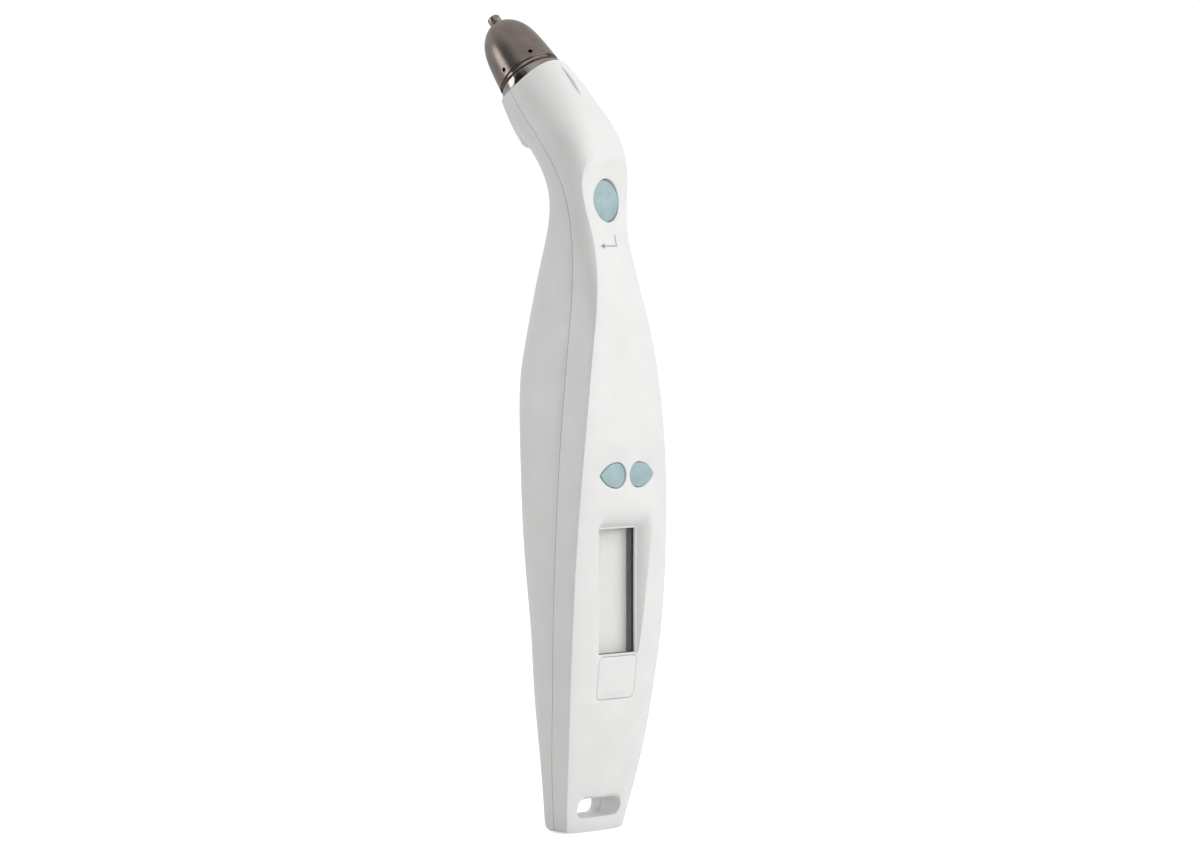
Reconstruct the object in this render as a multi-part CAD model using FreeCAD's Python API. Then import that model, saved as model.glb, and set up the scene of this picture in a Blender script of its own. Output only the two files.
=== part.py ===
import FreeCAD, Part
import math
import os
from FreeCAD import Placement, Rotation, Vector

# Handheld applanation tonometer: a pen-like plastic case whose head leans back, with a metal
# bell and contact foot at the tip. Millimetres. +Z runs up the handle, the display faces -Y.
# The model is made about the handle's own line, then moved so that the origin is the middle
# of the bounding box's bottom.

os.makedirs("parts", exist_ok=True)

# ---------------------------------------------------------------- driving dimensions
WALL = 1.8                    # case wall
LIP = 0.95                    # how far in the parting lip stands from the outer face
PARTING_GAP = 0.2             # visible line between the two case halves
PARTING_LIP = 1.4             # how far the front half's lip reaches into the rear half
SOLID_FOOT = 12.5             # below this height the case is solid round the strap slot
FACE_CROWN_RADIUS = 95.0      # the front face is an arc across its width
FAR = 80.0                    # longer than any cut needs to be

HEAD_LEAN = 41.0              # lean of the head back from the handle, degrees
MOUTH_Y = 13.8                # centre of the case mouth
MOUTH_Z = 183.6
MOUTH_SAG = 1.9               # how far the mouth's rim drops at its two sides
MOUTH_RADIUS = 9.0
MOUTH_DROP = 1.5              # the rim lies this far down the head from its nominal centre
MOUTH_TILT = 6.3              # and its front dips by this angle

# Case stations from the foot to the mouth: height, y of the widest line, lean in degrees,
# half width, reach forward, reach back, squareness in front, squareness behind.
STATIONS = [
    (-6.0, -3.1, 0.0, 8.8, 6.8, 4.3, 6.0, 5.0),
    (5.0, -4.0, 0.0, 10.85, 7.8, 5.0, 6.0, 5.0),
    (20.0, -6.1, 0.0, 13.3, 9.4, 7.1, 6.0, 4.7),
    (40.0, -7.9, 0.0, 15.3, 11.2, 10.0, 6.0, 4.5),
    (60.0, -9.3, 0.0, 16.1, 12.2, 13.8, 6.0, 4.0),
    (80.0, -9.7, 0.0, 15.5, 13.0, 16.9, 6.0, 4.0),
    (100.0, -9.5, 0.0, 13.7, 14.0, 19.1, 6.0, 4.0),
    (115.0, -9.1, 0.0, 11.4, 13.5, 19.6, 6.0, 3.8),
    (127.0, -8.4, 0.0, 9.2, 10.5, 18.0, 5.0, 3.2),
    (138.0, -7.6, 0.0, 8.1, 8.3, 15.2, 3.5, 2.7),
    (147.0, -6.4, 0.0, 8.4, 7.8, 11.2, 2.6, 2.4),
    (155.0, -5.0, 3.0, 9.2, 8.6, 8.8, 2.9, 2.2),
    (163.0, -2.2, 17.0, 10.2, 9.7, 8.6, 3.2, 2.0),
    (169.0, 1.2, 31.0, 10.4, 9.7, 9.1, 2.6, 2.0),
    (173.8, 5.3, HEAD_LEAN, 10.3, 9.8, 9.7, 2.2, 2.0),
    (178.7, 9.55, HEAD_LEAN, 9.8, 9.7, 9.5, 2.0, 2.0),
    (183.6, 13.8, HEAD_LEAN, MOUTH_RADIUS, 9.0, 9.0, 2.0, 2.0),
    (185.1, 15.1, HEAD_LEAN, 8.6, 8.6, 8.6, 2.0, 2.0),
]
SECTION_POINTS = 32

# Pad on the back of the head: height along the head, half width, reach forward, reach back.
PAD_RINGS = ((-13.3, 9.45, 7.0, 11.1), (-10.0, 9.4, 7.0, 11.0), (-5.0, 9.1, 7.0, 10.3),
             (0.5, 8.7, 7.0, 8.95))
RIB_RADIUS = 0.5
RIB_LINE = ((-15.6, 9.1), (-13.0, 9.7), (-6.5, 9.55), (-3.4, 8.8))   # height, radius

# Crest of the front face: (height, y)
FACE_CREST = [(-8.0, -7.2), (5.0, -9.1), (20.0, -12.3), (40.0, -15.3), (60.0, -17.35),
              (80.0, -18.4), (95.0, -18.75), (110.0, -18.35), (121.0, -17.5), (131.0, -16.1),
              (140.0, -14.2), (147.0, -12.5), (154.0, -11.4), (163.0, -11.9), (190.0, -12.2)]

# Parting line between the case halves, seen from the side: (y, height)
PARTING = [(-2.7, -8.0), (-4.6, 10.0), (-7.1, 30.0), (-9.3, 60.0), (-9.75, 88.0),
           (-9.3, 110.0), (-8.4, 127.0), (-7.8, 140.0), (-7.2, 150.0), (-4.8, 159.0),
           (0.7, 167.65), (5.9, 173.4), (11.9, 180.4), (20.0, 189.8)]

FLOOR = -0.2                  # lowest point of the foot, before the move to the origin
SLOT_HALF = 7.65              # strap slot through the foot
SLOT_LOW = 3.4
SLOT_HIGH = 8.1
SLOT_CORNER = 2.3
SLOT_FLARE = 0.8              # the slot's mouths open this much at both faces
SLOT_FRONT_Y = -9.1
SLOT_BACK_Y = 0.8
FOOT_FLAT = 9.3               # half width of the foot's shallow lower arc
FOOT_RISE = 0.35
FOOT_CORNER = 1.1
FOOT_FRONT_Y = -7.9           # a small bevel runs along the foot's front edge
FOOT_FRONT_BEVEL = 1.4
FOOT_BACK_Y = 1.05
FOOT_BACK_CORNER = 5.0

WINDOW_LOW = 43.6             # display opening
WINDOW_HIGH = 74.0
WINDOW_HALF = 6.5
WINDOW_LIP_Y = -15.0          # front plane of the opening's rim
PANE_FRONT = -14.4
PANE_BACK = -13.6
GLASS_FRONT = -12.0
GLASS_BACK = -10.6
SCOOP_MARGIN = 0.35           # flat ledge between the opening and the scoop's slopes
SCOOP_CORNER = 0.9
SCOOP_FLARE = ((0.0, 0.0), (0.9, 0.55), (1.7, 1.3), (2.4, 2.3), (2.95, 3.6), (3.35, 5.4),
               (3.6, 8.0))    # the scoop's slope: depth in front of the rim, growth there

COVER_LOW = 32.5              # plate below the display
COVER_HIGH = 43.1
COVER_HALF = 6.7
COVER_THICK = 0.85
COVER_CORNER = 1.6
COVER_GAP = 0.12
PORT_HALF = 3.5               # opening behind the plate
PORT_LOW = 34.0
PORT_HIGH = 38.0

ENTER_Y = -11.45              # oval button on the neck
ENTER_Z = 153.4
ENTER_HALF_WIDTH = 4.45
ENTER_HALF_HEIGHT = 5.35
ENTER_LEAN = 5.5              # its face looks up this much, degrees
ARROW_Y = -18.5               # pair of pointed buttons above the display
ARROW_Z = 87.1
ARROW_ROUND_X = 3.75          # centre of the round end
ARROW_ROUND_RADIUS = 3.2
ARROW_TIP_X = 9.6
ARROW_DOME_X = 5.2
ARROW_STEM_X = 4.6
KEY_GAP = 0.22                # clearance between a button and its hole
KEY_DOME_RADIUS = 18.0
KEY_PROUD = 0.35              # middle of a button in front of the face
KEY_FLANGE = 0.8
KEY_FLANGE_WIDER = 0.7
STEM_RADIUS = 1.3
PUSHER_RADIUS = 1.0
PUSHER_GAP = 0.06
SWITCH_SIDE = 5.2

BELL_FOOT = 0.9               # where the bell starts, measured up the head from the mouth
BELL_WALL = 0.8
BELL_OUTLINE = [(8.1, BELL_FOOT), (7.9, 2.8), (7.5, 6.6), (6.95, 10.1), (6.0, 13.1),
                (4.75, 15.1), (3.2, 16.6), (1.9, 17.3)]
VENT_HEIGHT = 2.5             # the bell's small side holes
VENT_RADIUS = 0.55
VENT_COUNT = 6
COLLAR_LOW = -4.3
COLLAR_RADIUS = 8.5
COLLAR_BORE = 7.3
COLLAR_WAIST = 7.6            # thinnest place, under the bell
COLLAR_EDGE = -0.9            # where the hollow meets the collar's rim
BARREL_RADIUS = 7.1
BARREL_LOW = -14.0
BARREL_BORE = 5.6
BARREL_FLOOR = 1.5
BARREL_HOLE = 1.5             # the sensor ribbon leaves through this hole
SENSOR_LOW = -5.0             # round sensor block in the barrel, with a stem up to the plunger
SENSOR_TOP = -3.0
SENSOR_RADIUS = 5.5
SENSOR_STEM_RADIUS = 1.6
SENSOR_STEM_TOP = 7.1
GUIDE_RADIUS = 2.2
GUIDE_LOW = 8.5
GUIDE_TOP = 15.5
O_RING_RADIUS = 7.33          # middle line of the seal round the barrel
O_RING_THICK = 0.21
O_RING_HEIGHT = -7.0
FOOT_RADIUS = 1.6             # contact foot at the very tip
FOOT_TOP = 19.9
FOOT_HEAD_LOW = 17.9
FOOT_NECK_RADIUS = 1.25
FOOT_NECK_LOW = 15.6
PLUNGER_RADIUS = 0.55
PLUNGER_FIT = 0.06
PLUNGER_LOW = 7.4
PLUNGER_TOP = 20.0

BOARD_FRONT = -8.6
BOARD_BACK = -7.4
CELL_RADIUS = 5.8             # button cells, 11.6 mm x 5.4 mm
CELL_LENGTH = 5.4
CELL_COUNT = 4
CELL_Y = 0.1
CELL_LOW = 88.2

DOOR_LOW = 84.0               # battery door in the rear half
DOOR_SHOULDER = 113.0
DOOR_HALF = 8.0
DOOR_GAP = 0.2
DOOR_THICK = 1.6

SCREW_RADIUS = 0.8
SCREW_HOLE = 0.85
SCREW_HEAD_RADIUS = 1.45
SCREW_HEAD = 1.1
SCREW_TUNNEL = 1.75
CASE_SCREWS = ((24.0, -3.2), (131.0, -5.0))    # height and seat of each case screw
CASE_SCREW_LENGTH = 7.0
BOARD_SCREWS = ((-11.0, 58.0), (11.0, 58.0), (-8.4, 100.0), (8.4, 100.0))
BOARD_SCREW_LENGTH = 4.0
SCREW_CROSS = 0.85            # half length of the screwdriver slots
SCREW_CROSS_HALF = 0.2
BOARD_POST_RADIUS = 1.7
CASE_POST_RADIUS = 2.3
CASE_POST_GAP = 3.25          # from a case screw's seat to the front half's post
CASE_BOSS_RADIUS = 2.5
CASE_BOSS_HEIGHT = 3.0
THREAD_ROOM = 0.3             # blind end of a screw hole past the screw

DISPLAY_BLOCK_HALF = 10.5     # solid frame inside the front half round the display
DISPLAY_BLOCK_LOW = 40.8
DISPLAY_BLOCK_HIGH = 80.5
PANE_HALF = 7.8
PANE_LOW = 42.4
PANE_HIGH = 75.2
FRAME_HALF = 8.6
FRAME_LOW = 41.6
FRAME_HIGH = 76.2
GLASS_HALF = 7.7
GLASS_LOW = 42.9
GLASS_HIGH = 74.9
POCKET_GAP = 0.1              # room round the pane, the frame and the display in their pockets
STRIP_HALF = 6.5              # rubber contact strips behind the display
STRIP_TALL = 1.5
STRIP_LOWS = (43.4, 72.9)

KEY_RIB_NEAR = 5.4            # pair of ribs beside the oval button, their x range
KEY_RIB_FAR = 6.5
KEY_RIB_FRONT = 1.0           # their reach inwards from the button's face
KEY_RIB_BACK = 6.6
KEY_RIB_HALF = 2.5
ENTER_FLANGE_Y = 2.1          # flange of the oval button, inwards from its face
ENTER_STEM = 0.9
ARROW_FLANGE_Y = -15.9
ARROW_STEM_Y = -12.4
SWITCH_DEPTH = 2.4
SWITCH_COLLAR = 0.6           # raised ring round the pusher
SWITCH_BORE = 1.4             # the pusher's bore ends this far from the switch's foot
PUSHER_LOW = -3.8
PUSHER_HIGH = -2.1
ENTER_BOARD_Y = 7.6           # small board behind the oval button, inwards from its face
ENTER_BOARD_THICK = 0.8
ENTER_BOARD_HALF_X = 6.1
ENTER_BOARD_HALF_Z = 5.8

BOARD_OUTLINE = [(9.5, 29.5), (12.8, 44.0), (13.0, 66.0), (10.6, 100.0), (7.6, 118.0)]
CHIPS = [(-5.0, 5.0, 45.0, 55.0, 1.5), (-7.5, -2.5, 62.0, 69.0, 1.1),
         (2.0, 6.0, 63.0, 68.0, 1.1), (-2.0, 2.0, 74.0, 78.0, 0.9)]   # x, z ranges and height
CONNECTOR_HALF = 3.2
CONNECTOR_FRONT = -12.2
CONNECTOR_LOW = 34.3
CONNECTOR_HIGH = 37.7
BEEPER_RADIUS = 4.4
BEEPER_FRONT = -11.2
BEEPER_Z = 108.5
SOCKET_HALF = 5.8             # socket for the two ribbons
SOCKET_BACK = -6.0
SOCKET_LOW = 113.6
SOCKET_HIGH = 116.4
RIBBON_THICK = 0.24
RIBBON_NEAR = 2.9             # each ribbon's x range, on its own side of the middle
RIBBON_FAR = 5.3
SENSOR_RIBBON = [(4.6, 173.0), (0.6, 168.3), (-1.4, 163.0), (-1.9, 155.0),
                 (-2.2, 145.0), (-3.2, 130.0), (-5.0, 121.0), (-6.6, 116.5)]
KEY_RIBBON = [(-4.1, 146.6), (-4.6, 142.0), (-5.6, 133.0), (-6.9, 123.0), (-6.75, 116.6)]

TRAY_HALF = 6.8               # battery tray
TRAY_BACK = 1.2
TRAY_LOW = 84.9
TRAY_HIGH = 111.6
TROUGH_LOW = 86.0
TROUGH_LENGTH = 24.4
CELL_STEP = 0.7               # the narrow cap at each cell's end
CELL_CAP_RADIUS = 4.9
CELL_APART = 0.02
SPRING_WIDE = 3.6
PLATE_HALF_X = 4.0
PLATE_HALF_Y = 3.5
PLATE_LOW = 110.0
PLATE_THICK = 0.4
DOOR_FRONT = 1.5              # the door's outline is cut from here backwards
GROOVE_HEIGHTS = (103.0, 105.6, 108.2)    # finger grooves in the battery door
GROOVE_RADIUS = 0.8
GROOVE_HALF = 4.5
GROOVE_Y = 10.35
HOOKS_X = (-5.2, 3.2)         # hooks at the door's lower edge
HOOK_WIDE = 2.0


# ---------------------------------------------------------------- helpers
def box(x_low, x_high, y_low, y_high, z_low, z_high):
    return Part.makeBox(x_high - x_low, y_high - y_low, z_high - z_low,
                        Vector(x_low, y_low, z_low))


def rod_y(radius, y_low, y_high, x, z):
    """A round bar lying along Y."""
    return Part.makeCylinder(radius, y_high - y_low, Vector(x, y_low, z), Vector(0, 1, 0))


def polygon_face(points):
    return Part.Face(Part.makePolygon(points + [points[0]]))


def spline(points):
    curve = Part.BSplineCurve()
    curve.interpolate(points)
    return curve.toShape()


def rounded_frame(half_width, low, high, corner, y):
    """A closed rounded rectangle in the plane at y."""
    left, right = -half_width, half_width
    bend = corner * (1 - math.sqrt(0.5))

    def at(x, z):
        return Vector(x, y, z)

    def arc(start, middle, end):
        return Part.Arc(start, middle, end).toShape()

    def line(start, end):
        return Part.LineSegment(start, end).toShape()

    edges = [
        line(at(left + corner, low), at(right - corner, low)),
        arc(at(right - corner, low), at(right - bend, low + bend), at(right, low + corner)),
        line(at(right, low + corner), at(right, high - corner)),
        arc(at(right, high - corner), at(right - bend, high - bend), at(right - corner, high)),
        line(at(right - corner, high), at(left + corner, high)),
        arc(at(left + corner, high), at(left + bend, high - bend), at(left, high - corner)),
        line(at(left, high - corner), at(left, low + corner)),
        arc(at(left, low + corner), at(left + bend, low + bend), at(left + corner, low)),
    ]
    return Part.Wire(edges)


def rounded_block(half_width, low, high, corner, y_low, y_high):
    wire = rounded_frame(half_width, low, high, corner, y_low)
    return Part.Face(wire).extrude(Vector(0, y_high - y_low, 0))


def head_placement():
    """Local Z is the head's own axis, and local Y points to its back."""
    return Placement(Vector(0, MOUTH_Y, MOUTH_Z), Rotation(Vector(1, 0, 0), -HEAD_LEAN))


def on_head(shape):
    moved = shape.copy()
    moved.Placement = head_placement().multiply(moved.Placement)
    return moved


def turned(points):
    """A solid turned about the local Z axis from (radius, height) points."""
    face = polygon_face([Vector(radius, 0, height) for radius, height in points])
    return face.revolve(Vector(0, 0, 0), Vector(0, 0, 1), 360)


def largest_solid(shape):
    return max(shape.Solids, key=lambda solid: solid.Volume)


# ---------------------------------------------------------------- case form
def section(station, inset):
    height, y, lean, half, front, back, square_front, square_back = station
    place = Placement(Vector(0, y, height), Rotation(Vector(1, 0, 0), -lean))
    points = []
    for step in range(SECTION_POINTS):
        angle = 2 * math.pi * step / SECTION_POINTS
        across = math.cos(angle)
        deep = math.sin(angle)
        reach = (back if deep > 0 else front) - inset
        square = square_back if deep > 0 else square_front
        x = math.copysign(abs(across) ** (2 / square), across) * (half - inset)
        d = math.copysign(abs(deep) ** (2 / square), deep) * reach
        points.append(place.multVec(Vector(x, d, 0)))
    curve = Part.BSplineCurve()
    curve.interpolate(Points=points, PeriodicFlag=True,
                      Parameters=[float(i) for i in range(SECTION_POINTS + 1)])
    return Part.Wire(curve.toShape())


def face_cutter(inset):
    """Everything in front of the crowned front face."""
    wires = []
    side = 30.0
    drop = FACE_CROWN_RADIUS - math.sqrt(FACE_CROWN_RADIUS ** 2 - side ** 2)
    for height, crest in FACE_CREST:
        left = Vector(-side, crest + drop + inset, height)
        top = Vector(0, crest + inset, height)
        right = Vector(side, crest + drop + inset, height)
        far_right = Vector(side, -FAR, height)
        far_left = Vector(-side, -FAR, height)
        wires.append(Part.Wire([
            Part.Arc(left, top, right).toShape(),
            Part.LineSegment(right, far_right).toShape(),
            Part.LineSegment(far_right, far_left).toShape(),
            Part.LineSegment(far_left, left).toShape(),
        ]))
    return Part.makeLoft(wires, True, False)


def quarter_bend(centre, radius, start_angle, at):
    """A quarter turn about a centre, in the plane that at() makes from two numbers."""
    angles = [math.radians(start_angle + 45 * i) for i in range(3)]
    points = [at(centre[0] + radius * math.cos(a), centre[1] + radius * math.sin(a))
              for a in angles]
    return Part.Arc(*points).toShape()


def foot_trim():
    """What stands above the foot's rounded lower edge."""
    side = 30.0
    top = 230.0
    corner_low = FLOOR + FOOT_RISE
    corner_high = corner_low + FOOT_CORNER

    def front(x, z):
        return Vector(x, -FAR, z)

    def run(*points):
        return [Part.LineSegment(a, b).toShape() for a, b in zip(points, points[1:])]

    edge = FOOT_FLAT + FOOT_CORNER
    outline = [Part.Arc(front(-FOOT_FLAT, corner_low), front(0, FLOOR),
                        front(FOOT_FLAT, corner_low)).toShape()]
    outline.append(quarter_bend((FOOT_FLAT, corner_high), FOOT_CORNER, 270, front))
    outline += run(front(edge, corner_high), front(side, corner_high + 95.0), front(side, top),
                   front(-side, top), front(-side, corner_high + 95.0), front(-edge, corner_high))
    outline.append(quarter_bend((-FOOT_FLAT, corner_high), FOOT_CORNER, 180, front))
    front_view = Part.Face(Part.Wire(outline)).extrude(Vector(0, 2 * FAR, 0))

    def flank(y, z):
        return Vector(-side, y, z)

    bend_y = FOOT_BACK_Y - FOOT_BACK_CORNER
    bend_z = FLOOR + FOOT_BACK_CORNER
    bevel_y = FOOT_FRONT_Y - FOOT_FRONT_BEVEL
    bevel_z = FLOOR + FOOT_FRONT_BEVEL
    outline = run(flank(bevel_y, bevel_z), flank(FOOT_FRONT_Y, FLOOR), flank(bend_y, FLOOR))
    outline.append(quarter_bend((bend_y, bend_z), FOOT_BACK_CORNER, 270, flank))
    outline += run(flank(FOOT_BACK_Y, bend_z), flank(FAR, 30.0), flank(FAR, top),
                   flank(-FAR, top), flank(-FAR, bevel_z), flank(bevel_y, bevel_z))
    side_view = Part.Face(Part.Wire(outline)).extrude(Vector(2 * side, 0, 0))
    return front_view.common(side_view)


def mouth_trim():
    """What lies below the case mouth, whose rim dips at its two sides."""
    low = -FAR
    half = 20.0
    arc_radius = MOUTH_RADIUS ** 2 / (2 * MOUTH_SAG)
    drop = arc_radius - math.sqrt(arc_radius ** 2 - half ** 2)
    rim = Part.Arc(Vector(-half, -FAR, -drop), Vector(0, -FAR, 0), Vector(half, -FAR, -drop)).toShape()
    sides = [
        Part.LineSegment(Vector(half, -FAR, -drop), Vector(half, -FAR, low)).toShape(),
        Part.LineSegment(Vector(half, -FAR, low), Vector(-half, -FAR, low)).toShape(),
        Part.LineSegment(Vector(-half, -FAR, low), Vector(-half, -FAR, -drop)).toShape(),
    ]
    block = Part.Face(Part.Wire([rim] + sides)).extrude(Vector(0, 2 * FAR, 0))
    block.Placement = Placement(Vector(0, 0, -MOUTH_DROP), Rotation(Vector(1, 0, 0), MOUTH_TILT))
    below_neck = box(-FAR, FAR, -FAR, FAR, -FAR, 150.0)
    return on_head(block).fuse(below_neck)


def case_form(inset):
    body = Part.makeLoft([section(station, inset) for station in STATIONS], True, False)
    return body.cut(face_cutter(inset))


def in_front_of_parting(shift):
    """Everything in front of the parting line, moved back by shift."""
    points = [Vector(-30, y + shift, height) for y, height in PARTING]
    edge = spline(points)
    start, end = points[0], points[-1]
    corner_high = Vector(-30, -FAR, end.z)
    corner_low = Vector(-30, -FAR, start.z)
    wire = Part.Wire([edge, Part.LineSegment(end, corner_high).toShape(),
                      Part.LineSegment(corner_high, corner_low).toShape(),
                      Part.LineSegment(corner_low, start).toShape()])
    return Part.Face(wire).extrude(Vector(60, 0, 0))


def prism_y(outline, y_low, y_high):
    """A block along Y from (x, z) corner points."""
    face = polygon_face([Vector(x, y_low, z) for x, z in outline])
    return face.extrude(Vector(0, y_high - y_low, 0))


def door_prism(gap):
    """The battery door's outline, straight sides under a round arch, as a block along Y."""
    half = DOOR_HALF - gap
    low = DOOR_LOW + gap

    def at(x, z):
        return Vector(x, DOOR_FRONT, z)

    edges = [
        Part.LineSegment(at(-half, DOOR_SHOULDER), at(-half, low)).toShape(),
        Part.LineSegment(at(-half, low), at(half, low)).toShape(),
        Part.LineSegment(at(half, low), at(half, DOOR_SHOULDER)).toShape(),
        Part.Arc(at(half, DOOR_SHOULDER), at(0, DOOR_SHOULDER + half),
                 at(-half, DOOR_SHOULDER)).toShape(),
    ]
    return Part.Face(Part.Wire(edges)).extrude(Vector(0, 30, 0))


def enter_placement():
    return Placement(Vector(0, ENTER_Y, ENTER_Z), Rotation(Vector(1, 0, 0), -ENTER_LEAN))


def enter_prism(grow, y_low, y_high):
    """The oval button's outline as a block; y is measured inwards from the face."""
    oval = Part.Ellipse(Vector(0, 0, ENTER_HALF_HEIGHT + grow),
                        Vector(ENTER_HALF_WIDTH + grow, 0, 0), Vector(0, 0, 0))
    block = Part.Face(Part.Wire(oval.toShape())).extrude(Vector(0, y_high - y_low, 0))
    if block.Volume < 0:
        block.reverse()
    block.translate(Vector(0, y_low, 0))
    block.Placement = enter_placement().multiply(block.Placement)
    return block


def arrow_prism(side, grow, y_low, y_high):
    """A pointed button's outline as a block: a round inner end and two arcs to a tip."""
    radius = ARROW_ROUND_RADIUS + grow
    length = ARROW_TIP_X + 1.3 * grow - ARROW_ROUND_X
    drop = (length ** 2 - radius ** 2) / (2 * radius)
    flank = radius + drop
    half_angle = (math.pi / 2 + math.atan2(drop, length)) / 2
    middle_x = flank * math.cos(half_angle)
    middle_z = flank * math.sin(half_angle) - drop

    def at(x, z):
        return Vector(side * (ARROW_ROUND_X + x), y_low, ARROW_Z + z)

    edges = [
        Part.Arc(at(0, radius), at(-radius, 0), at(0, -radius)).toShape(),
        Part.Arc(at(0, -radius), at(middle_x, -middle_z), at(length, 0)).toShape(),
        Part.Arc(at(length, 0), at(middle_x, middle_z), at(0, radius)).toShape(),
    ]
    return Part.Face(Part.Wire(edges)).extrude(Vector(0, y_high - y_low, 0))


def slot_cutter():
    """The strap slot with softened mouths at both faces."""
    slot = rounded_block(SLOT_HALF, SLOT_LOW, SLOT_HIGH, SLOT_CORNER, -20.0, 10.0)
    for near, far in ((SLOT_FRONT_Y, SLOT_FRONT_Y - SLOT_FLARE),
                      (SLOT_BACK_Y, SLOT_BACK_Y + SLOT_FLARE)):
        mouth = Part.makeLoft([
            rounded_frame(SLOT_HALF, SLOT_LOW, SLOT_HIGH, SLOT_CORNER, near),
            rounded_frame(SLOT_HALF + SLOT_FLARE, SLOT_LOW - SLOT_FLARE, SLOT_HIGH + SLOT_FLARE,
                          SLOT_CORNER + SLOT_FLARE, far),
        ], True, True)
        slot = slot.fuse(mouth)
    return slot


def scoop_cutter():
    """The hollow round the display: its slopes roll over softly where they meet the face."""
    low = WINDOW_LOW - SCOOP_MARGIN
    wires = []
    for depth, grow in SCOOP_FLARE:
        wires.append(rounded_frame(WINDOW_HALF + SCOOP_MARGIN + grow, low - 0.01 * grow,
                                   WINDOW_HIGH + SCOOP_MARGIN + grow, SCOOP_CORNER + 0.5 * grow,
                                   WINDOW_LIP_Y - depth))
    return Part.makeLoft(wires, True, False)


# ---------------------------------------------------------------- case halves
def head_station(height, half, front, back):
    """A round section across the head, at a height along its own axis from the mouth."""
    lean = math.radians(HEAD_LEAN)
    return (MOUTH_Z + height * math.cos(lean), MOUTH_Y + height * math.sin(lean), HEAD_LEAN,
            half, front, back, 2.0, 2.0)


def head_pad(limit):
    """The back of the head stands a little proud and ends in a small step above the neck."""
    rings = [section(head_station(*ring), 0.0) for ring in PAD_RINGS]
    return Part.makeLoft(rings, True, False).common(limit)


def head_rib():
    """A thin rib along the front of the head, sinking into it at its lower end."""
    wires = []
    for height, radius in RIB_LINE:
        circle = Part.Circle(Vector(0, -radius, height), Vector(0, 0, 1), RIB_RADIUS)
        wires.append(Part.Wire(circle.toShape()))
    return on_head(Part.makeLoft(wires, True, False))


def make_front_shell(outer, inner, lip_form, parting, lip_reach):
    display_block = box(-DISPLAY_BLOCK_HALF, DISPLAY_BLOCK_HALF, -FAR, PANE_FRONT,
                        DISPLAY_BLOCK_LOW, DISPLAY_BLOCK_HIGH).common(outer)
    posts = [rod_y(BOARD_POST_RADIUS, -18.0, BOARD_FRONT, x, z) for x, z in BOARD_SCREWS]
    posts += [rod_y(CASE_POST_RADIUS, -16.5, seat - CASE_POST_GAP, 0, z)
              for z, seat in CASE_SCREWS]
    for x_low, x_high in ((-KEY_RIB_FAR, -KEY_RIB_NEAR), (KEY_RIB_NEAR, KEY_RIB_FAR)):
        rib = box(x_low, x_high, KEY_RIB_FRONT, KEY_RIB_BACK, -KEY_RIB_HALF, KEY_RIB_HALF)
        rib.Placement = enter_placement()
        posts.append(rib)
    wall = outer.cut(inner).common(parting)
    lip = lip_form.cut(inner).common(lip_reach).cut(parting).common(outer)
    tops = [post.common(outer) for post in posts]
    shell = wall.fuse([lip, display_block, head_rib().common(parting).cut(inner)] + tops)
    cuts = [
        scoop_cutter(),
        box(-WINDOW_HALF, WINDOW_HALF, -20.0, 0.0, WINDOW_LOW, WINDOW_HIGH),
        box(-PANE_HALF - POCKET_GAP, PANE_HALF + POCKET_GAP, PANE_FRONT, 0.0,
            PANE_LOW - POCKET_GAP, PANE_HIGH + POCKET_GAP),
        box(-FRAME_HALF - POCKET_GAP, FRAME_HALF + POCKET_GAP, PANE_BACK, 0.0,
            FRAME_LOW - POCKET_GAP, FRAME_HIGH + POCKET_GAP),
        rounded_block(COVER_HALF, COVER_LOW, COVER_HIGH, COVER_CORNER, -20.0, 0.0).cut(
            case_form(COVER_THICK + 0.05)),
        box(-PORT_HALF, PORT_HALF, -20.0, -9.0, PORT_LOW, PORT_HIGH),
        enter_prism(0.0, -3.0, 4.0),
        arrow_prism(-1, 0.0, -25.0, -12.0),
        arrow_prism(1, 0.0, -25.0, -12.0),
        slot_cutter(),
    ]
    cuts += [rod_y(SCREW_HOLE, BOARD_FRONT - BOARD_SCREW_LENGTH - THREAD_ROOM, 0.0, x, z)
             for x, z in BOARD_SCREWS]
    cuts += [rod_y(SCREW_HOLE, seat - CASE_SCREW_LENGTH - THREAD_ROOM, 0.0, 0, z)
             for z, seat in CASE_SCREWS]
    return largest_solid(shell.cut(cuts))


def make_rear_shell(outer, inner, parting_back, lip_pocket, limit):
    wall = outer.fuse(head_pad(limit)).cut(inner)
    bosses = [rod_y(CASE_BOSS_RADIUS, seat - CASE_BOSS_HEIGHT, 12.0, 0, z).common(outer)
              for z, seat in CASE_SCREWS]
    shell = wall.fuse(bosses)
    cuts = [parting_back, lip_pocket, door_prism(0.0), slot_cutter()]
    for z, seat in CASE_SCREWS:
        cuts.append(rod_y(SCREW_HOLE, seat - CASE_SCREW_LENGTH, seat, 0, z))
        cuts.append(rod_y(SCREW_TUNNEL, seat, 20.0, 0, z))
    return largest_solid(shell.cut(cuts))


def make_battery_door(outer):
    door = outer.common(door_prism(DOOR_GAP)).cut(case_form(DOOR_THICK))
    door = largest_solid(door)
    for z in GROOVE_HEIGHTS:
        groove = Part.makeCylinder(GROOVE_RADIUS, 2 * GROOVE_HALF,
                                   Vector(-GROOVE_HALF, GROOVE_Y, z), Vector(1, 0, 0))
        door = door.cut(groove)
    for x in HOOKS_X:
        arm = box(x, x + HOOK_WIDE, 4.9, 6.6, DOOR_LOW + 0.4, DOOR_LOW + 2.0)
        tongue = box(x, x + HOOK_WIDE, 4.9, 5.6, DOOR_LOW - 1.2, DOOR_LOW + 0.6)
        door = door.fuse(arm.fuse(tongue))
    return largest_solid(door.removeSplitter())


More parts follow.
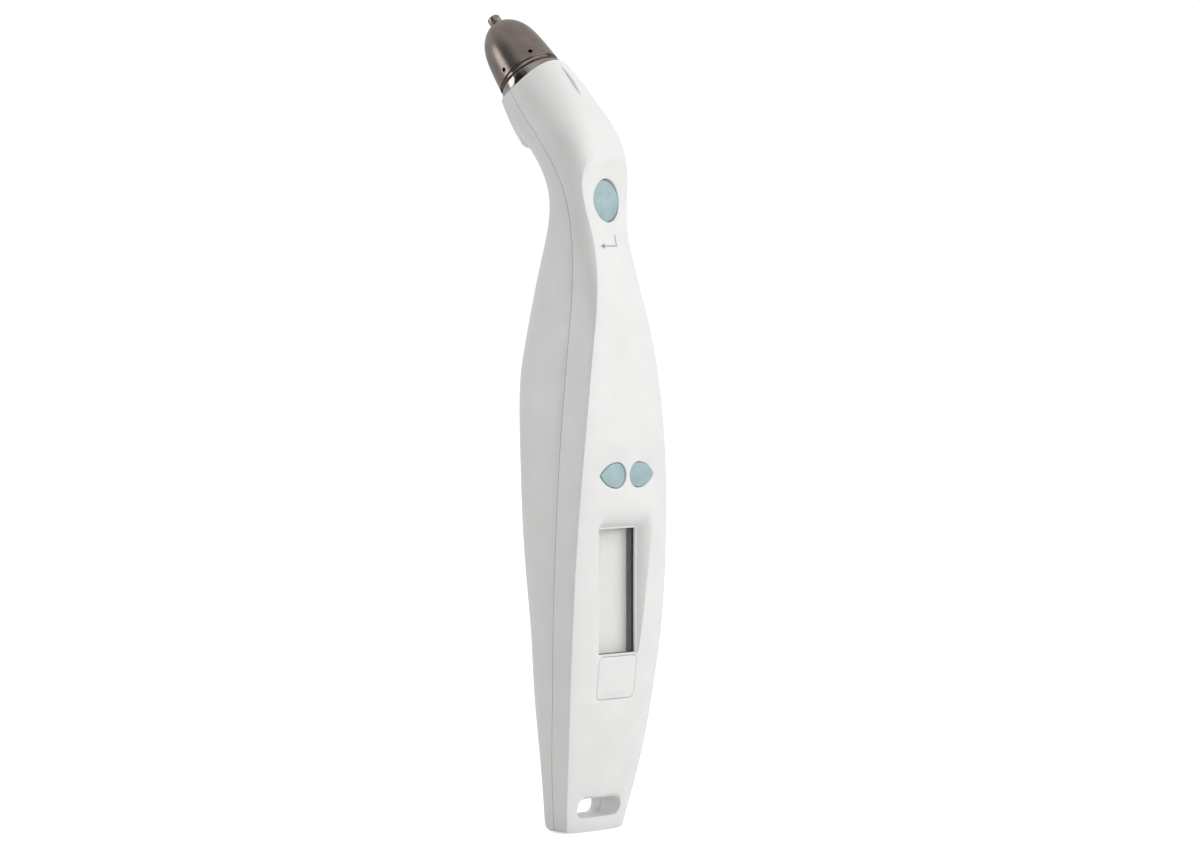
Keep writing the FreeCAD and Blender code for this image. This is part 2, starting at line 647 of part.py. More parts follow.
def make_port_cover(outer):
    outline = rounded_block(COVER_HALF - COVER_GAP, COVER_LOW + COVER_GAP, COVER_HIGH - COVER_GAP,
                            COVER_CORNER - COVER_GAP, -20.0, -12.0)
    plate = largest_solid(outline.common(outer).cut(case_form(COVER_THICK)))
    plug = box(-PORT_HALF + 0.3, PORT_HALF - 0.3, -14.6, -12.6, PORT_LOW + 0.4, PORT_HIGH - 0.4)
    return plate.fuse(plug)


# ---------------------------------------------------------------- buttons and switches
def make_enter_button():
    flange_end = ENTER_FLANGE_Y + KEY_FLANGE
    cap = enter_prism(-KEY_GAP, -1.0, ENTER_FLANGE_Y)
    centre = enter_placement().multVec(Vector(0, KEY_DOME_RADIUS - KEY_PROUD, 0))
    cap = cap.common(Part.makeSphere(KEY_DOME_RADIUS, centre))
    flange = enter_prism(KEY_FLANGE_WIDER, ENTER_FLANGE_Y, flange_end)
    stem = Part.makeCylinder(STEM_RADIUS, ENTER_STEM, Vector(0, flange_end, 0), Vector(0, 1, 0))
    stem.Placement = enter_placement().multiply(stem.Placement)
    return cap.fuse([flange, stem])


def make_arrow_button(side):
    flange_end = ARROW_FLANGE_Y + KEY_FLANGE
    cap = arrow_prism(side, -KEY_GAP, -22.0, ARROW_FLANGE_Y)
    centre = Vector(side * ARROW_DOME_X, ARROW_Y - KEY_PROUD + KEY_DOME_RADIUS, ARROW_Z)
    cap = cap.common(Part.makeSphere(KEY_DOME_RADIUS, centre))
    across = sorted((0.3 * side, FAR * side))
    half = box(across[0], across[1], -FAR, 0, 0, 2 * FAR)
    flange = arrow_prism(side, KEY_FLANGE_WIDER, ARROW_FLANGE_Y, flange_end).common(half)
    stem = rod_y(STEM_RADIUS, flange_end, ARROW_STEM_Y, side * ARROW_STEM_X, ARROW_Z)
    return cap.fuse([flange, stem])


def switch_body():
    """A push switch whose foot is at y = 0 and whose bore opens towards -Y."""
    half = SWITCH_SIDE / 2
    top = -SWITCH_DEPTH - SWITCH_COLLAR
    body = box(-half, half, -SWITCH_DEPTH, 0.0, -half, half)
    collar = rod_y(PUSHER_RADIUS + 0.7, top, -SWITCH_DEPTH, 0, 0)
    bore = rod_y(PUSHER_RADIUS + PUSHER_GAP, top - 0.1, -SWITCH_BORE, 0, 0)
    return body.fuse(collar).cut(bore)


def switch_pusher():
    return rod_y(PUSHER_RADIUS, PUSHER_LOW, PUSHER_HIGH, 0, 0)


def at_switches(shape):
    """Copies of a switch piece behind the left, right and oval buttons."""
    copies = []
    for x in (-ARROW_STEM_X, ARROW_STEM_X):
        copy = shape.copy()
        copy.translate(Vector(x, BOARD_FRONT, ARROW_Z))
        copies.append(copy)
    copy = shape.copy()
    copy.translate(Vector(0, ENTER_BOARD_Y, 0))
    copy.Placement = enter_placement().multiply(copy.Placement)
    copies.append(copy)
    return copies


# ---------------------------------------------------------------- display
def make_lcd_frame():
    frame = box(-FRAME_HALF, FRAME_HALF, PANE_BACK, GLASS_BACK, FRAME_LOW, FRAME_HIGH)
    opening = box(-WINDOW_HALF, WINDOW_HALF, PANE_BACK, GLASS_BACK, WINDOW_LOW, WINDOW_HIGH)
    pocket = box(-GLASS_HALF - POCKET_GAP, GLASS_HALF + POCKET_GAP, GLASS_FRONT, GLASS_BACK,
                 GLASS_LOW - POCKET_GAP, GLASS_HIGH + POCKET_GAP)
    return frame.cut([opening, pocket])


def make_contact_strips():
    return Part.makeCompound([box(-STRIP_HALF, STRIP_HALF, GLASS_BACK, BOARD_FRONT,
                                  low, low + STRIP_TALL) for low in STRIP_LOWS])


# ---------------------------------------------------------------- electronics
def make_main_board():
    mirrored = [(-x, z) for x, z in reversed(BOARD_OUTLINE)]
    board = prism_y(BOARD_OUTLINE + mirrored, BOARD_FRONT, BOARD_BACK)
    return board.cut([rod_y(SCREW_RADIUS + 0.15, -9.0, -7.0, x, z) for x, z in BOARD_SCREWS])


def make_enter_board():
    board = box(-ENTER_BOARD_HALF_X, ENTER_BOARD_HALF_X, ENTER_BOARD_Y,
                ENTER_BOARD_Y + ENTER_BOARD_THICK, -ENTER_BOARD_HALF_Z, ENTER_BOARD_HALF_Z)
    board.Placement = enter_placement()
    return board


def make_board_chips():
    return Part.makeCompound([box(x_low, x_high, BOARD_BACK, BOARD_BACK + tall, z_low, z_high)
                              for x_low, x_high, z_low, z_high, tall in CHIPS])


def make_battery_tray():
    tray = box(-TRAY_HALF, TRAY_HALF, BOARD_BACK, TRAY_BACK, TRAY_LOW, TRAY_HIGH)
    trough = Part.makeCylinder(CELL_RADIUS + 0.2, TROUGH_LENGTH, Vector(0, CELL_Y, TROUGH_LOW),
                               Vector(0, 0, 1))
    return tray.cut(trough)


def make_button_cells():
    cells = []
    for i in range(CELL_COUNT):
        low = CELL_LOW + i * (CELL_LENGTH + CELL_APART)
        can = Part.makeCylinder(CELL_RADIUS, CELL_LENGTH - CELL_STEP,
                                Vector(0, CELL_Y, low + CELL_STEP))
        cap = Part.makeCylinder(CELL_CAP_RADIUS, CELL_STEP, Vector(0, CELL_Y, low))
        cells.append(can.fuse(cap))
    return Part.makeCompound(cells)


def make_battery_spring():
    """A folded leaf that presses on the lowest cell."""
    low = TROUGH_LOW
    profile = [(-3.8, low), (3.8, low), (3.8, low + 0.25), (-2.4, low + 0.25),
               (2.6, low + 2.0), (2.6, low + 2.18), (-3.8, low + 0.3)]
    face = polygon_face([Vector(-SPRING_WIDE / 2, CELL_Y + y, z) for y, z in profile])
    return face.extrude(Vector(SPRING_WIDE, 0, 0))


def ribbon(points, x_low, x_high):
    """A flat cable: a thin band along a side-view curve."""
    half = RIBBON_THICK / 2
    near = []
    far = []
    for i, (y, z) in enumerate(points):
        before = points[max(i - 1, 0)]
        after = points[min(i + 1, len(points) - 1)]
        along = Vector(0, after[0] - before[0], after[1] - before[1]).normalize()
        across = Vector(0, -along.z, along.y).multiply(half)
        near.append(Vector(x_low, y, z).add(across))
        far.append(Vector(x_low, y, z).sub(across))
    wire = Part.Wire([spline(near), Part.LineSegment(near[-1], far[-1]).toShape(),
                      spline(far), Part.LineSegment(far[0], near[0]).toShape()])
    return Part.Face(wire).extrude(Vector(x_high - x_low, 0, 0))


# ---------------------------------------------------------------- screws
def screw(length):
    """A cross-head screw with its seat at y = 0 and its shank towards -Y."""
    shank = rod_y(SCREW_RADIUS, -length, 0.0, 0, 0)
    head = rod_y(SCREW_HEAD_RADIUS, 0.0, SCREW_HEAD, 0, 0)
    long, thin = SCREW_CROSS, SCREW_CROSS_HALF
    base = SCREW_HEAD / 2
    cross = [box(-long, long, base, 2 * SCREW_HEAD, -thin, thin),
             box(-thin, thin, base, 2 * SCREW_HEAD, -long, long)]
    return shank.fuse(head).cut(cross)


def moved(shape, x, y, z):
    copy = shape.copy()
    copy.translate(Vector(x, y, z))
    return copy


# ---------------------------------------------------------------- tip
def make_tip_bell():
    """A domed metal bell, hollow, with a ring of small holes near its foot."""
    outer = [Vector(r, 0, h) for r, h in BELL_OUTLINE]
    inner = [Vector(r - BELL_WALL, 0, h - (0.0 if i == 0 else 0.12 * i))
             for i, (r, h) in enumerate(BELL_OUTLINE)]
    neck = FOOT_NECK_RADIUS + 0.02
    top = Vector(neck, 0, outer[-1].z + 0.05)
    bore = Vector(neck, 0, inner[-1].z)
    wire = Part.Wire([
        spline(outer),
        Part.LineSegment(outer[-1], top).toShape(),
        Part.LineSegment(top, bore).toShape(),
        Part.LineSegment(bore, Vector(neck + 0.2, 0, inner[-2].z)).toShape(),
        Part.LineSegment(Vector(neck + 0.2, 0, inner[-2].z), inner[-2]).toShape(),
        spline(inner[:-1]),
        Part.LineSegment(inner[0], outer[0]).toShape(),
    ])
    bell = Part.Face(wire).revolve(Vector(0, 0, 0), Vector(0, 0, 1), 360)
    vents = []
    for i in range(VENT_COUNT):
        angle = math.radians(30.0 + 360.0 / VENT_COUNT * i)
        out = Vector(math.sin(angle), -math.cos(angle), 0)
        vents.append(Part.makeCylinder(VENT_RADIUS, 5.0, out * 5.5 + Vector(0, 0, VENT_HEIGHT), out))
    return on_head(bell.cut(vents))


def make_tip_collar():
    """A bright ring with a hollowed edge between the bell and the case mouth."""
    inner_low = Vector(COLLAR_BORE, 0, COLLAR_LOW)
    outer_low = Vector(COLLAR_RADIUS, 0, COLLAR_LOW)
    rim = Vector(COLLAR_RADIUS, 0, COLLAR_EDGE - 0.15)
    shoulder = Vector(COLLAR_RADIUS - 0.15, 0, COLLAR_EDGE)
    hollow = Vector(COLLAR_WAIST + 0.12, 0, COLLAR_EDGE + 0.75)
    waist = Vector(COLLAR_WAIST, 0, BELL_FOOT)
    inner_high = Vector(COLLAR_BORE, 0, BELL_FOOT)
    edges = [
        Part.LineSegment(inner_low, outer_low).toShape(),
        Part.LineSegment(outer_low, rim).toShape(),
        Part.LineSegment(rim, shoulder).toShape(),
        Part.Arc(shoulder, hollow, waist).toShape(),
        Part.LineSegment(waist, inner_high).toShape(),
        Part.LineSegment(inner_high, inner_low).toShape(),
    ]
    return on_head(Part.Face(Part.Wire(edges)).revolve(Vector(0, 0, 0), Vector(0, 0, 1), 360))


def make_probe_barrel():
    floor = BARREL_LOW + BARREL_FLOOR
    tube = turned([(BARREL_BORE, floor), (BARREL_HOLE, floor), (BARREL_HOLE, BARREL_LOW),
                   (BARREL_RADIUS, BARREL_LOW), (BARREL_RADIUS, BELL_FOOT),
                   (BARREL_BORE, BELL_FOOT)])
    return on_head(tube)


def make_o_ring():
    return on_head(Part.makeTorus(O_RING_RADIUS, O_RING_THICK, Vector(0, 0, O_RING_HEIGHT),
                                  Vector(0, 0, 1)))


def make_sensor_block():
    return on_head(turned([(0, SENSOR_LOW), (SENSOR_RADIUS, SENSOR_LOW),
                           (SENSOR_RADIUS, SENSOR_TOP), (SENSOR_STEM_RADIUS, SENSOR_TOP),
                           (SENSOR_STEM_RADIUS, SENSOR_STEM_TOP), (0, SENSOR_STEM_TOP)]))


def make_plunger_guide():
    bore = PLUNGER_RADIUS + PLUNGER_FIT
    return on_head(turned([(bore, GUIDE_LOW), (GUIDE_RADIUS, GUIDE_LOW),
                           (GUIDE_RADIUS, GUIDE_TOP), (bore, GUIDE_TOP)]))


def make_contact_foot():
    bore = PLUNGER_RADIUS + PLUNGER_FIT
    return on_head(turned([(bore, FOOT_NECK_LOW), (FOOT_NECK_RADIUS, FOOT_NECK_LOW),
                           (FOOT_NECK_RADIUS, FOOT_HEAD_LOW), (FOOT_RADIUS, FOOT_HEAD_LOW + 0.3),
                           (FOOT_RADIUS, FOOT_TOP - 0.25), (FOOT_RADIUS - 0.25, FOOT_TOP),
                           (bore, FOOT_TOP)]))


def make_plunger():
    return on_head(turned([(0, PLUNGER_LOW), (PLUNGER_RADIUS, PLUNGER_LOW),
                           (PLUNGER_RADIUS, PLUNGER_TOP), (0, PLUNGER_TOP)]))


# ---------------------------------------------------------------- assembly
def make_parts():
    trim = foot_trim()
    mouth = mouth_trim()
    outer = case_form(0.0).common(trim).common(mouth)
    room = box(-FAR, FAR, -FAR, FAR, SOLID_FOOT, 2 * FAR + 50)
    collar_seat = on_head(Part.makeCylinder(COLLAR_RADIUS + 0.05, 12.0,
                                            Vector(0, 0, COLLAR_LOW - 0.05)))
    inner = case_form(WALL).common(room).fuse(collar_seat)
    lip_form = case_form(LIP)
    parting = in_front_of_parting(0.0)
    lip_reach = in_front_of_parting(PARTING_LIP)
    lip_pocket = case_form(LIP - 0.06).common(in_front_of_parting(PARTING_LIP + 0.1))

    ends = [moved(screw(CASE_SCREW_LENGTH), 0, seat, z) for z, seat in CASE_SCREWS]
    board_ends = [moved(screw(BOARD_SCREW_LENGTH + 1.2), x, BOARD_BACK, z) for x, z in BOARD_SCREWS]
    pushers = at_switches(switch_pusher())
    return {
        "front_shell": make_front_shell(outer, inner, lip_form, parting, lip_reach),
        "rear_shell": make_rear_shell(outer, inner, in_front_of_parting(PARTING_GAP),
                                      lip_pocket, mouth),
        "battery_door": make_battery_door(outer),
        "port_cover": make_port_cover(outer),
        "display_window": box(-PANE_HALF, PANE_HALF, PANE_FRONT, PANE_BACK, PANE_LOW, PANE_HIGH),
        "lcd_frame": make_lcd_frame(),
        "lcd_panel": box(-GLASS_HALF, GLASS_HALF, GLASS_FRONT, GLASS_BACK, GLASS_LOW, GLASS_HIGH),
        "contact_strips": make_contact_strips(),
        "enter_button": make_enter_button(),
        "left_button": make_arrow_button(-1),
        "right_button": make_arrow_button(1),
        "switch_bodies": Part.makeCompound(at_switches(switch_body())),
        "left_switch_pusher": pushers[0],
        "right_switch_pusher": pushers[1],
        "enter_switch_pusher": pushers[2],
        "main_board": make_main_board(),
        "enter_board": make_enter_board(),
        "board_chips": make_board_chips(),
        "data_connector": box(-CONNECTOR_HALF, CONNECTOR_HALF, CONNECTOR_FRONT, BOARD_FRONT,
                              CONNECTOR_LOW, CONNECTOR_HIGH),
        "beeper": rod_y(BEEPER_RADIUS, BEEPER_FRONT, BOARD_FRONT, 0, BEEPER_Z),
        "ribbon_socket": box(-SOCKET_HALF, SOCKET_HALF, BOARD_BACK, SOCKET_BACK,
                             SOCKET_LOW, SOCKET_HIGH),
        "battery_tray": make_battery_tray(),
        "button_cells": make_button_cells(),
        "battery_spring": make_battery_spring(),
        "battery_plate": box(-PLATE_HALF_X, PLATE_HALF_X, CELL_Y - PLATE_HALF_Y,
                             CELL_Y + PLATE_HALF_Y, PLATE_LOW, PLATE_LOW + PLATE_THICK),
        "case_screws": Part.makeCompound(ends),
        "board_screws": Part.makeCompound(board_ends),
        "tip_bell": make_tip_bell(),
        "tip_collar": make_tip_collar(),
        "probe_barrel": make_probe_barrel(),
        "o_ring": make_o_ring(),
        "sensor_block": make_sensor_block(),
        "plunger_guide": make_plunger_guide(),
        "contact_foot": make_contact_foot(),
        "plunger": make_plunger(),
        "sensor_ribbon": ribbon(SENSOR_RIBBON, RIBBON_NEAR, RIBBON_FAR),
        "key_ribbon": ribbon(KEY_RIBBON, -RIBBON_FAR, -RIBBON_NEAR),
    }


parts = make_parts()
whole = Part.makeCompound(list(parts.values())).optimalBoundingBox(False)
shift = Vector(0, -(whole.YMin + whole.YMax) / 2, -whole.ZMin)
print("moved to the origin by", round(shift.y, 4), round(shift.z, 4))
for name, shape in parts.items():
    shape.translate(shift)
    shape.exportStep("parts/" + name + ".step")
    print(name, len(shape.Solids), round(shape.Volume, 2), shape.isValid())
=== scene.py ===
import math

import bmesh
import bpy
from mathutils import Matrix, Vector
from mathutils.bvhtree import BVHTree


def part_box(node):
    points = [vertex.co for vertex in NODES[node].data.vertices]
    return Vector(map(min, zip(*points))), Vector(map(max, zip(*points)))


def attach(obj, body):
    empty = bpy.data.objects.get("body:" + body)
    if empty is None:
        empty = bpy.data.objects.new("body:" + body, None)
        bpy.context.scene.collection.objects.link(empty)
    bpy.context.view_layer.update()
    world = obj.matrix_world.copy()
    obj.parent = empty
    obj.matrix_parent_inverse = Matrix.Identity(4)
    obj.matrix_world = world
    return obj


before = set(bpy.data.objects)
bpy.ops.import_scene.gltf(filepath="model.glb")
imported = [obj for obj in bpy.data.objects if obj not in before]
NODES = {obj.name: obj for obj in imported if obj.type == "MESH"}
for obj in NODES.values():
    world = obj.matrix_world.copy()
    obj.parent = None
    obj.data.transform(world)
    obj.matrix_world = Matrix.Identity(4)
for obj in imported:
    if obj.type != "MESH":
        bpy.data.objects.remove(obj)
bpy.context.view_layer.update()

MM = 0.001

HEAD_LEAN = math.radians(41)  # the probe head leans back from upright by this much
WHITE = (1, 1, 1, 1)


# ---------------------------------------------------------------- node helpers


class Graph:
    """A material's node tree, with short calls to add and join its nodes."""

    def __init__(self, name):
        self.material = bpy.data.materials.new(name)
        self.material.use_nodes = True
        self.tree = self.material.node_tree
        self.tree.nodes.clear()
        self.shader = self.add("ShaderNodeBsdfPrincipled")
        output = self.add("ShaderNodeOutputMaterial")
        self.join(self.shader.outputs["BSDF"], output.inputs["Surface"])
        self.place = self.add("ShaderNodeTexCoord").outputs["Object"]

    def add(self, kind, **settings):
        node = self.tree.nodes.new(kind)
        for key, value in settings.items():
            setattr(node, key, value)
        return node

    def join(self, source, target):
        self.tree.links.new(source, target)

    def turned_place(self, turn):
        """The place after a turn about the X axis."""
        node = self.add("ShaderNodeMapping")
        node.inputs["Rotation"].default_value = (turn, 0, 0)
        self.join(self.place, node.inputs["Vector"])
        return node.outputs["Vector"]

    def stretched_place(self, scale):
        node = self.add("ShaderNodeMapping")
        node.inputs["Scale"].default_value = scale
        self.join(self.place, node.inputs["Vector"])
        return node.outputs["Vector"]

    def noise(self, size, detail, place=None):
        """Noise whose lumps are about size metres across, from 0 to 1."""
        node = self.add("ShaderNodeTexNoise")
        node.inputs["Scale"].default_value = 1 / size
        node.inputs["Detail"].default_value = detail
        self.join(place or self.place, node.inputs["Vector"])
        return node.outputs["Fac"]

    def rings(self, size):
        """Noise that changes only along the probe head, like the marks of a lathe tool."""
        split = self.add("ShaderNodeSeparateXYZ")
        self.join(self.turned_place(HEAD_LEAN), split.inputs["Vector"])
        node = self.add("ShaderNodeTexNoise", noise_dimensions="1D")
        node.inputs["Scale"].default_value = 1 / size
        node.inputs["Detail"].default_value = 3
        self.join(split.outputs["Z"], node.inputs["W"])
        return node.outputs["Fac"]

    def spread(self, value, low, high, start=0.3, end=0.7):
        """Maps a texture's value onto the range from low to high."""
        node = self.add("ShaderNodeMapRange")
        node.inputs["From Min"].default_value = start
        node.inputs["From Max"].default_value = end
        node.inputs["To Min"].default_value = low
        node.inputs["To Max"].default_value = high
        self.join(value, node.inputs["Value"])
        return node.outputs["Result"]

    def tint(self, value, dark, light, start=0.3, end=0.7):
        """A colour between dark and light, chosen by a texture's value."""
        node = self.add("ShaderNodeValToRGB")
        node.color_ramp.elements[0].position = start
        node.color_ramp.elements[0].color = (*dark, 1)
        node.color_ramp.elements[1].position = end
        node.color_ramp.elements[1].color = (*light, 1)
        self.join(value, node.inputs["Fac"])
        return node.outputs["Color"]

    def colour(self, source):
        self.join(source, self.shader.inputs["Base Color"])

    def gloss(self, source):
        self.join(source, self.shader.inputs["Roughness"])

    def bump(self, value, height, strength, under=None):
        """Relief of the given height in metres, laid over an earlier relief."""
        node = self.add("ShaderNodeBump")
        node.inputs["Distance"].default_value = height
        node.inputs["Strength"].default_value = strength
        self.join(value, node.inputs["Height"])
        if under:
            self.join(under, node.inputs["Normal"])
        self.join(node.outputs["Normal"], self.shader.inputs["Normal"])
        return node.outputs["Normal"]

    def set(self, **sockets):
        """Sets the shader's sockets, whose names are written with _ for each space."""
        for name, value in sockets.items():
            self.shader.inputs[name.replace("_", " ")].default_value = value


# ---------------------------------------------------------------- materials


def moulded_plastic(name, dark, light, rough, grain=0.25 * MM, relief=0.004 * MM):
    """Injection-moulded plastic: a fine etched grain, slow colour drift and uneven gloss."""
    g = Graph(name)
    g.colour(g.tint(g.noise(9 * MM, 3), dark, light))
    g.gloss(g.spread(g.noise(2.5 * MM, 4), rough - 0.04, rough + 0.05))
    waves = g.bump(g.noise(6 * MM, 1), 0.03 * MM, 0.25)
    g.bump(g.noise(grain, 2), relief, 0.6, under=waves)
    g.set(IOR=1.5)
    return g


def case_plastic():
    g = moulded_plastic("case_plastic", (0.805, 0.805, 0.795), (0.845, 0.845, 0.835), 0.40)
    g.set(Coat_Weight=0.12, Coat_Roughness=0.25)
    return g.material


def cover_plastic():
    g = moulded_plastic("cover_plastic", (0.81, 0.81, 0.80), (0.85, 0.85, 0.84), 0.36)
    g.set(Coat_Weight=0.15, Coat_Roughness=0.22)
    return g.material


def black_plastic():
    g = moulded_plastic("black_plastic", (0.012, 0.012, 0.013), (0.024, 0.024, 0.026), 0.38)
    return g.material


def cream_plastic():
    g = moulded_plastic("cream_plastic", (0.55, 0.52, 0.42), (0.63, 0.60, 0.50), 0.42)
    return g.material


def black_rubber():
    g = moulded_plastic("black_rubber", (0.012, 0.012, 0.012), (0.03, 0.03, 0.03), 0.62)
    return g.material


def teal_key():
    """Blue-green silicone of the keys: light sinks in a little, with a satin skin."""
    g = Graph("teal_key")
    g.colour(g.tint(g.noise(3 * MM, 3), (0.31, 0.45, 0.48), (0.40, 0.54, 0.56)))
    g.gloss(g.spread(g.noise(1.2 * MM, 4), 0.26, 0.38))
    g.bump(g.noise(0.2 * MM, 2), 0.003 * MM, 0.6)
    g.set(Subsurface_Weight=0.25, Subsurface_Scale=1.2 * MM, IOR=1.45)
    g.set(Subsurface_Radius=(0.6, 1.0, 1.0), Coat_Weight=0.2, Coat_Roughness=0.15)
    return g.material


def clear_pane():
    """Thin clear acrylic: it shows what lies behind it, under a faint mirror of the room."""
    g = Graph("clear_pane")
    g.colour(g.tint(g.noise(5 * MM, 2), (0.82, 0.86, 0.85), (0.86, 0.90, 0.89)))
    g.gloss(g.spread(g.noise(1.5 * MM, 3), 0.03, 0.07))
    g.bump(g.noise(4 * MM, 1), 0.004 * MM, 0.3)
    g.set(Alpha=0.05, IOR=1.49)
    return g.material


def lcd_glass():
    """Reflective display: grey-green, a fine dot grid and a slow drift of brightness."""
    g = Graph("lcd_glass")
    dots = g.add("ShaderNodeTexBrick", offset=0.0)
    dots.inputs["Color1"].default_value = (0.83, 0.84, 0.79, 1)
    dots.inputs["Color2"].default_value = (0.84, 0.85, 0.80, 1)
    dots.inputs["Mortar"].default_value = (0.88, 0.89, 0.84, 1)
    dots.inputs["Scale"].default_value = 1 / (0.5 * MM)
    dots.inputs["Mortar Size"].default_value = 0.06
    dots.inputs["Brick Width"].default_value = 1.0
    dots.inputs["Row Height"].default_value = 1.0
    g.join(g.turned_place(math.pi / 2), dots.inputs["Vector"])
    shade = g.add("ShaderNodeMix", data_type="RGBA", blend_type="MULTIPLY")
    shade.inputs["Factor"].default_value = 1.0
    g.join(dots.outputs["Color"], shade.inputs["A"])
    drift = g.tint(g.noise(14 * MM, 1), (0.96, 0.96, 0.95), (1, 1, 1))
    g.join(drift, shade.inputs["B"])
    g.colour(shade.outputs["Result"])
    g.gloss(g.spread(g.noise(1 * MM, 3), 0.28, 0.36))
    g.bump(g.noise(0.12 * MM, 1), 0.002 * MM, 0.5)
    return g.material


def board_laminate():
    """Green circuit board: solder mask over a faint weave and a maze of tracks."""
    g = Graph("board_laminate")
    tracks = g.add("ShaderNodeTexVoronoi", feature="DISTANCE_TO_EDGE")
    tracks.inputs["Scale"].default_value = 1 / (2.2 * MM)
    g.join(g.place, tracks.inputs["Vector"])
    track, mask = (0.05, 0.20, 0.09), (0.018, 0.10, 0.045)
    g.colour(g.tint(tracks.outputs["Distance"], track, mask, 0.04, 0.08))
    g.gloss(g.spread(g.noise(1 * MM, 3), 0.28, 0.42))
    g.bump(tracks.outputs["Distance"], 0.02 * MM, 0.4)
    return g.material


def chip_epoxy():
    dark, light = (0.018, 0.018, 0.019), (0.035, 0.035, 0.036)
    g = moulded_plastic("chip_epoxy", dark, light, 0.55, 0.12 * MM)
    return g.material


def amber_film():
    """Flat ribbon of copper-coloured film, with its conductors as fine stripes."""
    g = Graph("amber_film")
    stripes = g.noise(0.5 * MM, 0, place=g.stretched_place((1, 0.02, 0.02)))
    g.colour(g.tint(stripes, (0.42, 0.17, 0.03), (0.62, 0.30, 0.07)))
    g.gloss(g.spread(g.noise(2 * MM, 3), 0.22, 0.34))
    g.bump(stripes, 0.01 * MM, 0.5)
    return g.material


def plain_metal(name, dark, light, rough, grain):
    """Rolled or drawn metal: fine streaks in the gloss and a slight colour drift."""
    g = Graph(name)
    g.colour(g.tint(g.noise(4 * MM, 3), dark, light))
    streaks = g.noise(grain, 3, place=g.stretched_place((1, 1, 0.08)))
    g.gloss(g.spread(streaks, rough - 0.07, rough + 0.09))
    g.bump(streaks, 0.003 * MM, 0.5)
    g.set(Metallic=1.0)
    return g.material


def turned_metal(name, dark, light, rough, ring, relief):
    """Lathe-turned metal of the probe tip, with rings round the head's axis."""
    g = Graph(name)
    rings = g.rings(ring)
    g.colour(g.tint(g.noise(3 * MM, 4), dark, light))
    g.gloss(g.spread(rings, rough - 0.06, rough + 0.08))
    fine = g.bump(rings, relief, 0.5)
    g.bump(g.noise(0.15 * MM, 2), relief * 0.6, 0.5, under=fine)
    g.set(Metallic=1.0)
    return g.material


# Metals of the cells, spring and screws: dark and light colour, roughness, size of the streaks.
PLAIN_METALS = {
    "cell_steel": ((0.60, 0.60, 0.58), (0.72, 0.72, 0.70), 0.24, 0.2 * MM),
    "spring_steel": ((0.48, 0.48, 0.47), (0.60, 0.60, 0.58), 0.30, 0.1 * MM),
    "screw_steel": ((0.40, 0.40, 0.41), (0.52, 0.52, 0.53), 0.34, 0.08 * MM),
}

# Metals of the probe: dark and light colour, roughness, size and height of the lathe's rings.
TURNED_METALS = {
    "bell_metal": ((0.235, 0.195, 0.175), (0.29, 0.245, 0.22), 0.26, 0.12 * MM, 0.0008 * MM),
    "bright_metal": ((0.36, 0.31, 0.285), (0.46, 0.41, 0.38), 0.12, 0.1 * MM, 0.002 * MM),
    "sensor_alloy": ((0.45, 0.43, 0.40), (0.56, 0.54, 0.50), 0.30, 0.1 * MM, 0.003 * MM),
    "foot_metal": ((0.27, 0.23, 0.19), (0.36, 0.31, 0.27), 0.30, 0.1 * MM, 0.003 * MM),
    "plunger_metal": ((0.60, 0.56, 0.52), (0.72, 0.69, 0.64), 0.24, 0.08 * MM, 0.002 * MM),
}

FINISHES = {
    "case_plastic": case_plastic(),
    "cover_plastic": cover_plastic(),
    "clear_pane": clear_pane(),
    "black_plastic": black_plastic(),
    "lcd_glass": lcd_glass(),
    "black_rubber": black_rubber(),
    "teal_key": teal_key(),
    "board_laminate": board_laminate(),
    "chip_epoxy": chip_epoxy(),
    "amber_film": amber_film(),
    "cream_plastic": cream_plastic(),
}
for slot, look in PLAIN_METALS.items():
    FINISHES[slot] = plain_metal(slot, *look)
for slot, look in TURNED_METALS.items():
    FINISHES[slot] = turned_metal(slot, *look)


def dress(nodes):
    """Gives every CAD node the finish that its material slot names."""
    for node in nodes.values():
        for index, packed in enumerate(node.data.materials):
            slot = packed.name.split(".")[0]
            node.material_slots[index].material = FINISHES[slot]


# ---------------------------------------------------------------- soft edges

WELD_REACH = 0.005 * MM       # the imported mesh's split corners are this close together
SHARP_ANGLE = math.radians(32)
BEVEL_STEPS = 3
SOFT_EDGES = {                # width of the bevel on each piece's sharp edges
    "front_shell": 0.30 * MM,
    "rear_shell": 0.20 * MM,
    "battery_door": 0.15 * MM,
    "port_cover": 0.20 * MM,
    "enter_button": 0.60 * MM,
    "left_button": 0.50 * MM,
    "right_button": 0.50 * MM,
    "contact_foot": 0.12 * MM,
    "tip_bell": 0.10 * MM,
    "tip_collar": 0.10 * MM,
}


def soften(piece, width):
    """Rounds a moulded or turned piece's edges by a small bevel."""
    weld = piece.modifiers.new("weld", "WELD")
    weld.merge_threshold = WELD_REACH
    bevel = piece.modifiers.new("soft_edges", "BEVEL")
    bevel.width = width
    bevel.segments = BEVEL_STEPS
    bevel.limit_method = "ANGLE"
    bevel.angle_limit = SHARP_ANGLE
    bevel.use_clamp_overlap = True
    bevel.harden_normals = True


# ---------------------------------------------------------------- printed mark

INK_LIFT = 0.04 * MM          # the print stands this far off the case
INK_HALF = 0.17 * MM          # half width of its lines
MARK_DROP = 4.7 * MM          # its line lies this far below the oval key
MARK_LEFT = -3.8 * MM
MARK_RIGHT = 1.3 * MM
MARK_TALL = 2.6 * MM
BARB = 1.5 * MM               # length of the arrowhead, whose point stands out to the left
BARB_TIP = BARB / 50
POINT_OUT = 0.5 * MM
STRIP_STEPS = 14
IN_FRONT = -0.1               # a place in front of the whole object, metres along Y


